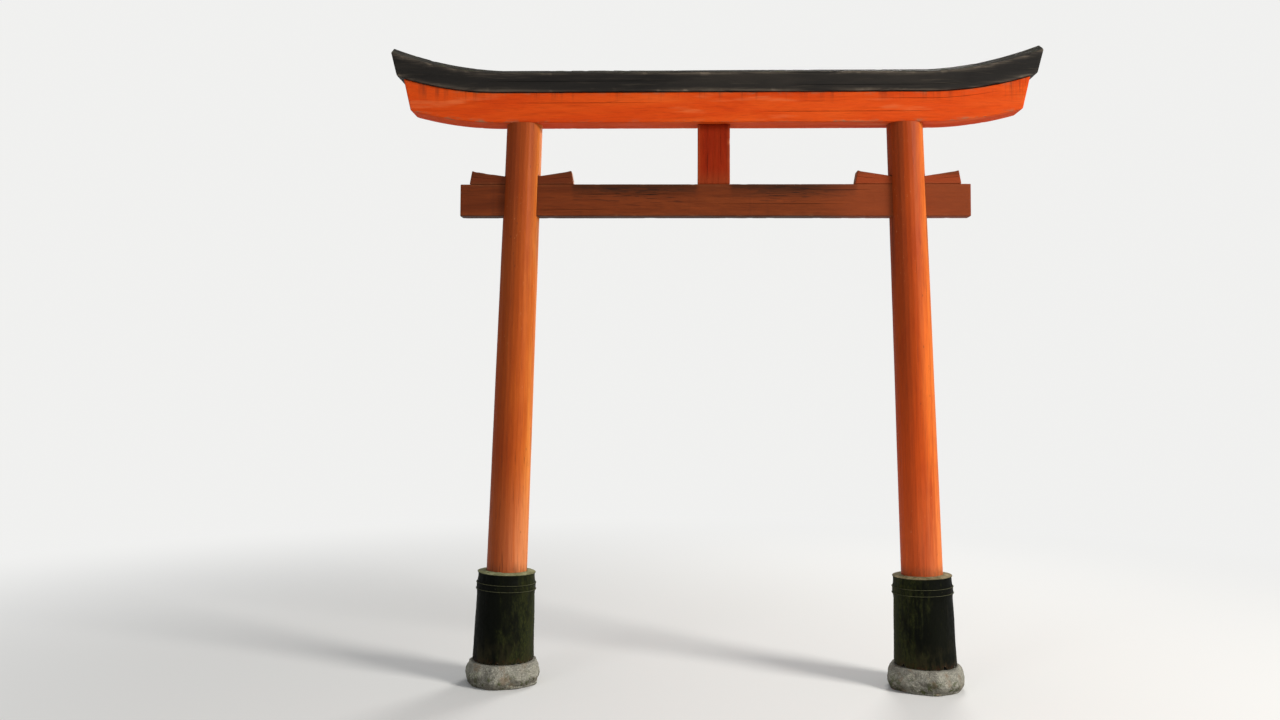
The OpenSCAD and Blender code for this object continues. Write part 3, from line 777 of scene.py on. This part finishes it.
def wedge(name, tailX, way, seed):
    low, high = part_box(name)
    length, full = high.x - low.x, high.z - low.z
    # both cracks run out at the thick end
    front, back = (length + past for past in wedgeShape["crackPast"])
    values = {**wedgeShape, "corners": boxCorners(high.y - low.y, full), "ends": (0.0, length), "seed": seed,
              "cracks": [(3, 0.45, 0.12, front, 0.0007, 0.004), (1, 0.6, 0.1, back, 0.0007, 0.004)]}

    def place(s, p):
        share = np.clip(s / length, 0, 1)
        tall = wedgeShape["tailHigh"] + (full - wedgeShape["tailHigh"]) * share
        slant = wedgeShape["toe"] * p[..., 1] / full * fadeIn(s, length - wedgeShape["toeRun"], length)
        return spotsAt(tailX + way * (s - slant), p[..., 0], low.z + p[..., 1] / full * tall)

    return bar(name + "_timber", brownTimber, values, place)


for number, (name, way) in enumerate((("left_inner_wedge", 1), ("left_outer_wedge", -1),
                                      ("right_inner_wedge", -1), ("right_outer_wedge", 1))):
    low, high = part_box(name)
    piece = wedge(name, low.x if way > 0 else high.x, way, 31 + number)
    addToGate(piece, "brown_timber", name)
print("tie beam and wedges made")


# Centre strut
strut = {
    "corners": boxCorners(strutHigh.x - strutLow.x, strutHigh.y, strutLow.y),
    "ends": (beamHigh.z, lintelLow.z), "radius": 0.004, "step": 0.007, "pitch": 0.008,
    "wave": 0.0005, "wear": 0.0012, "grain": (0.05, 0.05, 0.5), "seed": 41, "checks": 5,
    "cracks": [(0, 0.30, 2.46, 2.62, 0.0006, 0.004), (0, 0.72, 2.52, 2.75, 0.0007, 0.004),
               (2, 0.5, 2.45, 2.7, 0.0007, 0.004)],
}
piece = bar("centre_strut_timber", redTimber, strut, lambda s, p: spotsAt(middleX + p[..., 0], p[..., 1], s))
inside = gate["past"] / 2
carve(piece, "UNION", [
    upright(middleX, tenonWide, tenonThick, low, high, -gate["tenonShy"])
    for low, high in ((strutLow.z, beamHigh.z + inside), (lintelLow.z - inside, strutHigh.z))])
addToGate(piece, "red_timber", "centre_strut")


# Both lintels follow one curve: level over the posts, rising at both ends
lintelCurve = {
    "reach": 0.560, "lead": 0.110, "rise": 0.062, "slant": math.tan(math.radians(14)), "slantRun": 0.12,
    "capStep": 0.032,
}
half = middleX - postTopX + lintelCurve["reach"]
straightHalf = middleX - postTopX + lintelCurve["lead"]
curveRun = half - straightHalf
curveRadius = (curveRun ** 2 + lintelCurve["rise"] ** 2) / (2 * lintelCurve["rise"])
capHalf = half + gate["lintelHeight"] * lintelCurve["slant"] + lintelCurve["capStep"]


def onCurve(level, gain, end):
    def place(s, p):
        up = p[..., 1] * (1 + gain * np.maximum(0, np.abs(s) - straightHalf) / curveRun)
        lean = lintelCurve["slant"] * up * fadeIn(np.abs(s), end - lintelCurve["slantRun"], end)
        past = np.maximum(0, np.abs(s) + lean - straightHalf)
        lift = curveRadius - np.sqrt(curveRadius ** 2 - past ** 2)
        return spotsAt(middleX + s + np.sign(s) * lean, p[..., 0], level + up + lift)
    return place


lowerLintel = {
    "corners": boxCorners(lintelHigh.y - lintelLow.y, gate["lintelHeight"]),
    "ends": (-half, half), "radius": 0.005, "step": 0.009, "pitch": 0.010,
    "wave": 0.0007, "wear": 0.0014, "grain": (0.9, 0.06, 0.06), "seed": 51, "checks": 9,
    "cracks": [(3, 0.34, -1.1, -0.2, 0.0009, 0.006), (3, 0.66, 0.1, 1.2, 0.0010, 0.007),
               (3, 0.2, 0.7, 1.45, 0.0008, 0.005), (1, 0.4, -0.9, 0.5, 0.0010, 0.007),
               (1, 0.7, -1.4, -0.6, 0.0008, 0.005), (0, 0.5, -1.5, -1.1, 0.0010, 0.006),
               (0, 0.35, 1.05, 1.52, 0.0010, 0.006), (0, 0.6, -0.7, 0.4, 0.0008, 0.005)],
}
piece = bar("lower_lintel_timber", lintelPaint, lowerLintel, onCurve(lintelLow.z, 0.0, half))
mortiseMouth = lintelLow.z - gate["past"]
carve(piece, "DIFFERENCE", [
    upright(x, wide, thick, mortiseMouth, lintelLow.z + tall + gate["endClear"], gate["sideClear"])
    for x, (wide, thick, tall) in ((postTopX, gate["postTenon"]), (2 * middleX - postTopX, gate["postTenon"]),
                                   (middleX, gate["strutTenon"]))])
addToGate(piece, "lintel_paint", "lower_lintel")

capShape = {"seatHalf": 0.086, "sideHigh": 0.092, "ridgeHigh": 0.038, "endGain": 0.014}
eaveHalf = (capHigh.y - capLow.y) / 2
topLintel = {
    "corners": [(-capShape["seatHalf"], 0.0), (capShape["seatHalf"], 0.0), (eaveHalf, capShape["sideHigh"]),
                (0.0, capShape["sideHigh"] + capShape["ridgeHigh"]), (-eaveHalf, capShape["sideHigh"])],
    "ends": (-capHalf, capHalf), "radius": 0.006, "step": 0.009, "pitch": 0.010,
    "wave": 0.0012, "wear": 0.0026, "grain": (0.9, 0.06, 0.06), "seed": 61, "checks": 9,
    "cracks": [(4, 0.45, -1.2, -0.1, 0.0010, 0.007), (4, 0.7, 0.3, 1.3, 0.0010, 0.006),
               (1, 0.4, -0.4, 1.0, 0.0010, 0.007), (2, 0.35, -1.4, -0.3, 0.0012, 0.008),
               (2, 0.7, 0.0, 1.3, 0.0012, 0.008), (3, 0.3, -0.8, 0.5, 0.0012, 0.008),
               (3, 0.65, 0.6, 1.5, 0.0012, 0.008), (3, 0.8, -1.5, -0.9, 0.0010, 0.006)],
}
piece = bar("top_lintel_timber", blackTimber, topLintel,
            onCurve(capLow.z, capShape["endGain"] / capShape["sideHigh"], capHalf))
addToGate(piece, "black_timber", "top_lintel")
print("strut and lintels made")


# Foot sleeves, measured along the post from its foot
sleeve = {
    "tall": 0.425, "gap": 0.036, "flare": 0.011, "wall": 0.003, "collarTall": 0.064, "hoopTall": 0.030,
    "beadRadius": 0.0025, "hoopThick": 0.002, "hoopClear": 0.0003, "ringThick": 0.003, "ringFall": 0.007,
    "ringLip": 0.0025, "ringClear": 0.0008, "ringBevel": 0.0006, "ringDirt": 0.0012, "rimDents": 0.0009,
}
shellTop = sleeve["tall"] - sleeve["ringThick"]
hoopMiddle = shellTop - sleeve["collarTall"]


def postRadius(s):
    return (gate["footWide"] + (gate["topWide"] - gate["footWide"]) * s / postLength) / 2


def sleeveRadius(s):
    return postRadius(shellTop) + sleeve["gap"] + sleeve["wall"] + sleeve["flare"] * (1 - s / shellTop)


def onPost(side, x, y, s):
    # from a post's own leaning axis to the gate; s runs up the axis from the foot
    cosine, sine = math.cos(gate["lean"]), math.sin(gate["lean"])
    across, up = x * cosine + s * sine, footLevel + s * cosine - x * sine
    return spotsAt(across if side == "left" else gate["postSpacing"] - across, y, up)


def aroundPost(side, turn, reach, s):
    return onPost(side, np.sin(turn) * reach, -np.cos(turn) * reach, s)


def turnFrom(turn, middle):
    return np.abs((turn - middle + math.pi) % math.tau - math.pi)


def skins(outer, inner):
    # rows of the outer skin going up, then of the inner skin coming down
    return np.concatenate([outer, inner[::-1]])


# The sheet's wear; the lower shells thin out towards their torn feet
sheet = {
    "dents": 0.0022, "smallDents": 0.0005, "lap": 0.0012, "footWall": 0.0012, "wallGain": 0.0018,
    "gainRun": 0.03, "collarWall": 0.0018, "tears": 44, "tearWide": (0.02, 0.10), "tearDeep": (0.004, 0.028),
    "tearBlunt": (0.8, 3.0), "footLoss": (0.0012, 0.0015), "tornReach": 0.035, "edgeReach": 0.004,
}


def tornFoot(turn, seed):
    # how far the sheet's foot is rusted away, from nothing to about 30 mm
    picks = random.Random(seed)
    spots = spotsAt(np.sin(turn), np.cos(turn), 0)
    least, more = sheet["footLoss"]
    away = least + more * (0.5 + bumps(spots, 0.08, seed, 3))
    ragged = bumps(spots, 0.035, seed + 1, 3)
    for _ in range(sheet["tears"]):
        middle, wide = picks.uniform(-math.pi, math.pi), picks.uniform(*sheet["tearWide"])
        deep = picks.uniform(*sheet["tearDeep"]) * picks.random() ** 0.6
        bluntness = picks.uniform(*sheet["tearBlunt"])
        near = 1 - np.minimum(1, turnFrom(turn, middle) / wide) ** bluntness
        away = np.maximum(away, deep * (1 + ragged) * near)
    return away


def sheetShell(name, side, lowEnd, highEnd, seed, torn, lapTurn, rowCount):
    columns = 400 if torn else 300
    turn = np.linspace(0, math.tau, columns, endpoint=False)[None, :] + np.zeros((rowCount, 1))
    share = np.linspace(0, 1, rowCount)[:, None] ** (1.35 if torn else 1.0)
    bottom = lowEnd + 0 * turn[0]
    if torn:
        level = tornFoot(turn[0], seed)
        bottom = (level + np.sin(turn[0]) * sleeveRadius(0) * math.sin(gate["lean"])) / math.cos(gate["lean"])
    levels = bottom + (highEnd - bottom) * share
    spot = aroundPost(side, turn, 0.15, levels)
    dents = (sheet["dents"] * np.clip(bumps(spot, (0.09, 0.09, 0.16), seed) + 0.35, 0, 1)
             + sheet["smallDents"] * (0.5 + bumps(spot, 0.03, seed + 2)))
    clear = fadeIn(np.abs(levels - hoopMiddle), 0.018, 0.045)
    lap = fadeIn(turnFrom(turn, lapTurn), 0.085, 0.078)
    radius = sleeveRadius(levels) - clear * (dents + sheet["lap"] * (1 - lap))
    wall = sheet["collarWall"]
    if torn:
        wall = sheet["footWall"] + sheet["wallGain"] * fadeIn(levels - bottom, 0.0, sheet["gainRun"])
    rows = aroundPost(side, skins(turn, turn), skins(radius, radius - wall), skins(levels, levels))
    fromFoot = skins(levels - bottom, levels - bottom)
    marks = {"torn": fadeIn(fromFoot, sheet["tornReach"], 0.0) if torn else 0.0,
             "edge": fadeIn(fromFoot, sheet["edgeReach"], 0.0) if torn else 0.0}
    return surface(name, rows, blackSheet, closed=True, marks=marks)


hoopLow, hoopHigh = hoopMiddle - sleeve["hoopTall"] / 2, hoopMiddle + sleeve["hoopTall"] / 2
hoopInputs = {
    "Low Radius": sleeveRadius(hoopLow) + sleeve["hoopClear"],
    "High Radius": sleeveRadius(hoopHigh) + sleeve["hoopClear"], "Low Level": hoopLow, "High Level": hoopHigh,
    "Bead Radius": sleeve["beadRadius"], "Band Thickness": sleeve["hoopThick"], "Around": 144,
    "Nails": 9, "Nail Radius": 0.0036, "First Nail": 0.3, "Finish": blackSheet,
}


def hoopTree():
    # a flat band with a bead along each edge, nailed round its middle
    b, given, result = newTree("nailed hoop", hoopInputs)

    def circle(corners, radius):
        return b.add("GeometryNodeCurvePrimitiveCircle", {"Resolution": corners, "Radius": radius},
                     mode="RADIUS")

    def swept(radius, profile, level):
        # a profile run round a circle at this level
        ring = b.add("GeometryNodeCurveToMesh", {
            "Curve": circle(given["Around"], radius), "Profile Curve": profile})
        return b.add("GeometryNodeTransform", {"Geometry": ring, "Translation": b.joined(z=level)})

    wire = circle(14, given["Bead Radius"])
    parts = [swept(b.total(given[end + " Radius"], given["Bead Radius"]), wire, given[end + " Level"])
             for end in ("Low", "High")]
    middle = b.times(b.total(given["Low Radius"], given["High Radius"]), 0.5)
    level = b.times(b.total(given["Low Level"], given["High Level"]), 0.5)
    flat = b.add("GeometryNodeCurvePrimitiveQuadrilateral", {
        "Width": given["Band Thickness"], "Height": b.minus(given["High Level"], given["Low Level"])})
    parts.append(swept(b.total(middle, b.times(given["Band Thickness"], 0.5)), flat, level))
    outside = b.total(middle, given["Band Thickness"])
    dots = b.add("GeometryNodeMeshCircle", {"Vertices": given["Nails"], "Radius": outside}, fill_type="NONE")
    nail = b.add("GeometryNodeMeshUVSphere", {"Segments": 14, "Rings": 9, "Radius": given["Nail Radius"]})
    nail = b.add("GeometryNodeTransform", {"Geometry": nail, "Scale": (0.5, 1.0, 1.0)})
    place = b.add("GeometryNodeInputPosition")
    outward = b.add("FunctionNodeAlignRotationToVector", {"Vector": place}, axis="X")
    nails = b.add("GeometryNodeInstanceOnPoints", {"Points": dots, "Instance": nail, "Rotation": outward})
    parts.append(b.add("GeometryNodeTransform", {
        "Geometry": nails, "Translation": b.joined(z=level), "Rotation": b.joined(z=given["First Nail"])}))
    gathered = b.tree.nodes.new("GeometryNodeJoinGeometry")
    for part in reversed(parts):
        b.tree.links.new(part, gathered.inputs[0])
    return endTree(b, gathered.outputs[0], given, result)


hoopShape = hoopTree()


def capRing(name, side, seed):
    # a sheet collar that falls from the post to its rim, rough with dirt
    turn = np.linspace(0, math.tau, 220, endpoint=False)[None, :]
    rim, low, high = sleeveRadius(shellTop) + sleeve["ringLip"], shellTop, sleeve["tall"]
    bore, bevel, rimRow = postRadius(high) + sleeve["ringClear"], sleeve["ringBevel"], 14
    reach = np.array([bore] + list(np.linspace(bore + 0.001, rim - 0.001, 13)) + [rim, rim, rim - bevel] +
                     list(np.linspace(rim - 0.004, bore, 5)))[:, None]
    row = np.arange(len(reach))[:, None]
    topLevel = high + sleeve["ringFall"] * (rim - reach) / (rim - bore)
    level = np.where(row <= rimRow, topLevel, low)
    level[rimRow:rimRow + 2] = [[high - bevel], [low + bevel]]
    spot = aroundPost(side, turn, reach, level)
    level = level - (row < rimRow) * sleeve["ringDirt"] * (0.4 + bumps(spot, 0.02, seed, 3))
    reach = reach - sleeve["rimDents"] * (0.5 + bumps(spot, 0.05, seed + 4)) * (reach > rim - 0.002)
    rows = aroundPost(side, turn, reach, level)
    marks = {"edge": (row >= rimRow) * 1.0}
    return surface(name, rows, dustySheet, closed=True, marks=marks)


for side, seed, lapTurn, firstNail in (("left", 71, 2.3, 0.3), ("right", 83, 1.2, 0.05)):
    piece = sheetShell(side + "_sleeve_shell", side, 0.0, hoopMiddle, seed, True, lapTurn, 46)
    addToGate(piece, "sleeve_sheet", side + "_sleeve")
    piece = sheetShell(side + "_collar_shell", side, hoopMiddle, shellTop, seed + 1, False, lapTurn + 0.4, 12)
    addToGate(piece, "sleeve_sheet", side + "_sleeve_collar")
    piece = grown(side + "_nailed_hoop", hoopShape, {**hoopInputs, "First Nail": firstNail})
    points = np.array([v.co for v in piece.data.vertices])
    placed = onPost(side, points[:, 0], points[:, 1], points[:, 2])
    piece.data.vertices.foreach_set("co", placed.ravel())
    cleaned(piece.data, blackSheet, 35)
    addToGate(piece, "sleeve_sheet", side + "_sleeve_hoop")
    piece = capRing(side + "_dusty_cap_ring", side, seed + 2)
    addToGate(piece, "cap_ring_sheet", side + "_sleeve_cap_ring")
print("sleeves, hoops and cap rings made")


# Base stones: the CAD outline, remeshed finely and weathered inwards
stoneShape = {
    "grid": 0.0045, "soften": 6, "lumps": 0.011, "pits": 0.0022, "seatFrom": 0.168, "seatFull": 0.154,
    "seatAbove": 0.09, "seatDrop": 0.0002,
}


def stonePiece(name, node, seed):
    low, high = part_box(node)
    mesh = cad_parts[node].data.copy()
    cleaned(mesh, granite, weld=1e-5)
    piece = inScene(name, mesh)
    remesh = piece.modifiers.new("even skin", "REMESH")
    remesh.mode, remesh.voxel_size = "VOXEL", stoneShape["grid"]
    piece.modifiers.new("soften", "SMOOTH").iterations = stoneShape["soften"]
    mesh = settled(piece)
    points = np.array([v.co for v in mesh.vertices])
    outward = np.array([v.normal for v in mesh.vertices])
    lumps = np.clip(0.45 + bumps(points, 0.075, seed, 2), 0, 1) * stoneShape["lumps"]
    pits = np.clip(0.5 + bumps(points, 0.014, seed + 1, 3), 0, 1) * stoneShape["pits"]
    flat = fadeIn(np.abs(outward[:, 2]), 0.55, 0.9)
    moved = points - outward * (lumps * (1 - 0.85 * flat) + pits * (1 - 0.6 * flat))[:, None]
    # the post and the sleeve stand on the level top
    fromAxis = np.hypot(points[:, 0] - (0 if "left" in node else gate["postSpacing"]), points[:, 1])
    seat = fadeIn(fromAxis, stoneShape["seatFrom"], stoneShape["seatFull"])
    seat = seat * (points[:, 2] > stoneShape["seatAbove"])
    moved[:, 2] = moved[:, 2] * (1 - seat) + seat * (high.z - stoneShape["seatDrop"])
    moved = np.clip(moved, np.array(low), np.array(high))
    mesh.vertices.foreach_set("co", moved.ravel())
    cleaned(mesh, granite, 180)
    mesh.name = name
    return piece


for side, seed in (("left", 91), ("right", 97)):
    piece = stonePiece(side + "_rough_stone", side + "_base_stone", seed)
    addToGate(piece, "base_stone", side + "_base_stone")
print("base stones made")


# Plain pale stage. The floor keeps the gate's shadow and fades into the background further out
backdrop = {
    "pale": (0.875, 0.875, 0.865, 1.0), "floor": (0.82, 0.82, 0.81, 1.0), "clear": 1.7, "gone": 7.0,
    "reach": 60,
}
floorMesh = bpy.data.meshes.new("floor")
floorMesh.from_pydata([(x * backdrop["reach"], y * backdrop["reach"], 0)
                       for x, y in ((-1, -1), (1, -1), (1, 1), (-1, 1))], [], [(0, 1, 2, 3)])
floor = inScene("floor", floorMesh)
floorLook = bpy.data.materials.new("pale_floor")
floorLook.use_nodes = True
b = Bench(floorLook.node_tree)
matt = floorLook.node_tree.nodes["Principled BSDF"]
matt.inputs["Base Color"].default_value = backdrop["floor"]
matt.inputs["Roughness"].default_value = 0.9
matt.inputs["Specular IOR Level"].default_value = 0.2
centred = b.vector("SUBTRACT", b.add("ShaderNodeTexCoord", out="Object"), (middleX, 0, 0))
away = b.vector("LENGTH", centred, out="Value")
far = b.fade(away, backdrop["clear"], backdrop["gone"])
glow = b.add("ShaderNodeEmission", {"Color": backdrop["pale"], "Strength": 1.0})
rays = b.add("ShaderNodeLightPath", out="Is Camera Ray").node
seen = b.math("MAXIMUM", rays.outputs["Is Camera Ray"], rays.outputs["Is Glossy Ray"])
shown = b.add("ShaderNodeMixShader", {0: b.times(far, seen), 1: matt.outputs[0], 2: glow})
floorLook.node_tree.links.new(shown, floorLook.node_tree.nodes["Material Output"].inputs["Surface"])
floorMesh.materials.append(floorLook)

world = bpy.data.worlds.new("studio")
scene.world = world
world.use_nodes = True
b = Bench(world.node_tree)
soft = {"strength": 0.30, "tint": (0.96, 0.98, 1.0, 1.0)}
light = b.add("ShaderNodeBackground", {"Color": soft["tint"], "Strength": soft["strength"]})
pale = b.add("ShaderNodeBackground", {"Color": backdrop["pale"], "Strength": 1.0})
rays = b.add("ShaderNodeLightPath", out="Is Camera Ray").node
seen = b.math("MAXIMUM", rays.outputs["Is Camera Ray"], rays.outputs["Is Transmission Ray"])
shown = b.add("ShaderNodeMixShader", {0: seen, 1: light, 2: pale})
world.node_tree.links.new(shown, world.node_tree.nodes["World Output"].inputs["Surface"])

lamps = {  # place, aim, size in metres, power in watts, colour
    "key": ((10.0, -5.6, 6.6), (1.0, 0.0, 1.5), 3.6, 1260, (1.0, 0.97, 0.92)),
    "fill": ((-4.6, -7.6, 4.4), (0.9, 0.0, 1.4), 3.6, 90, (0.95, 0.97, 1.0)),
    "back": ((3.4, 6.4, 5.2), (1.0, 0.0, 1.8), 3.0, 260, (1.0, 0.98, 0.95)),
}
for name, (place, aim, size, power, colour) in lamps.items():
    lamp = bpy.data.lights.new(name, "AREA")
    lamp.shape, lamp.size, lamp.energy, lamp.color = "DISK", size, power, colour
    holder = inScene(name, lamp)
    holder.location = place
    holder.rotation_euler = (Vector(aim) - Vector(place)).to_track_quat("-Z", "Y").to_euler()

# The photograph's eye point; the lens is 5% wider and shifted a little, so that the foot and the
# top both show
view = {
    "place": (0.844, -5.614, 1.455), "pitch": 2.74, "turn": -1.85, "roll": 0.245, "sensor": 36.0,
    "lens": 32.0, "shift": -0.024,
}
camera = inScene("camera", bpy.data.cameras.new("camera"))
camera.matrix_world = (Matrix.Translation(view["place"])
                       @ Matrix.Rotation(math.radians(-view["turn"]), 4, "Z")
                       @ Matrix.Rotation(math.radians(90 + view["pitch"]), 4, "X")
                       @ Matrix.Rotation(math.radians(view["roll"]), 4, "Z"))
camera.data.sensor_width, camera.data.lens, camera.data.shift_y = view["sensor"], view["lens"], view["shift"]
scene.camera = camera
print("stage, lamps and camera set")
